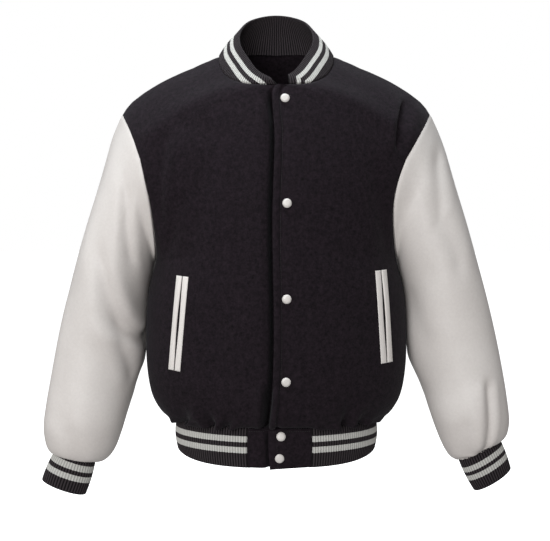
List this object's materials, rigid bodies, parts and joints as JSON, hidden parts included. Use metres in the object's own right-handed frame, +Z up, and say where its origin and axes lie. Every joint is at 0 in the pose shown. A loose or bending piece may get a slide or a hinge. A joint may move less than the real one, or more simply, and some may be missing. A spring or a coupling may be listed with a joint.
{
  "type": "varsity jacket",
  "caption": "Snap-front varsity jacket with a wool body, smooth leather set-in sleeves and pocket welts, and a striped rib-knit collar, cuffs and waistband, filled out as if worn.",
  "frame": {"origin": "on the line of the shoulder seams, in the middle of the neck, where the wearer's shoulders hold the jacket", "axes": "+Y to the wearer's back with the snap front facing -Y; +Z up out of the collar; +X to the wearer's left"},
  "size_m": [0.7804, 0.3007, 0.8084],
  "materials": {
    "melton_wool": "near-black melton wool, matt, slightly hairy",
    "sleeve_leather": "pale smooth leather, soft satin, bare of print",
    "rib_knit": "black rib knit with pale stripes",
    "snap_cap": "pale enamelled snap cap, satin"
  },
  "bodies": {
    "root": {"back": "melton_wool", "collar": "rib_knit", "cuff_left": "rib_knit", "cuff_right": "rib_knit", "front_left": "melton_wool", "front_right": "melton_wool", "sleeve_left": "sleeve_leather", "sleeve_right": "sleeve_leather", "snap_1": "snap_cap", "snap_2": "snap_cap", "snap_3": "snap_cap", "snap_4": "snap_cap", "snap_5": "snap_cap", "snap_6": "snap_cap", "tab_left": "melton_wool", "tab_right": "melton_wool", "waistband": "rib_knit", "welt_left_inner": "sleeve_leather", "welt_left_outer": "sleeve_leather", "welt_right_inner": "sleeve_leather", "welt_right_outer": "sleeve_leather"}
  },
  "joints": []
}
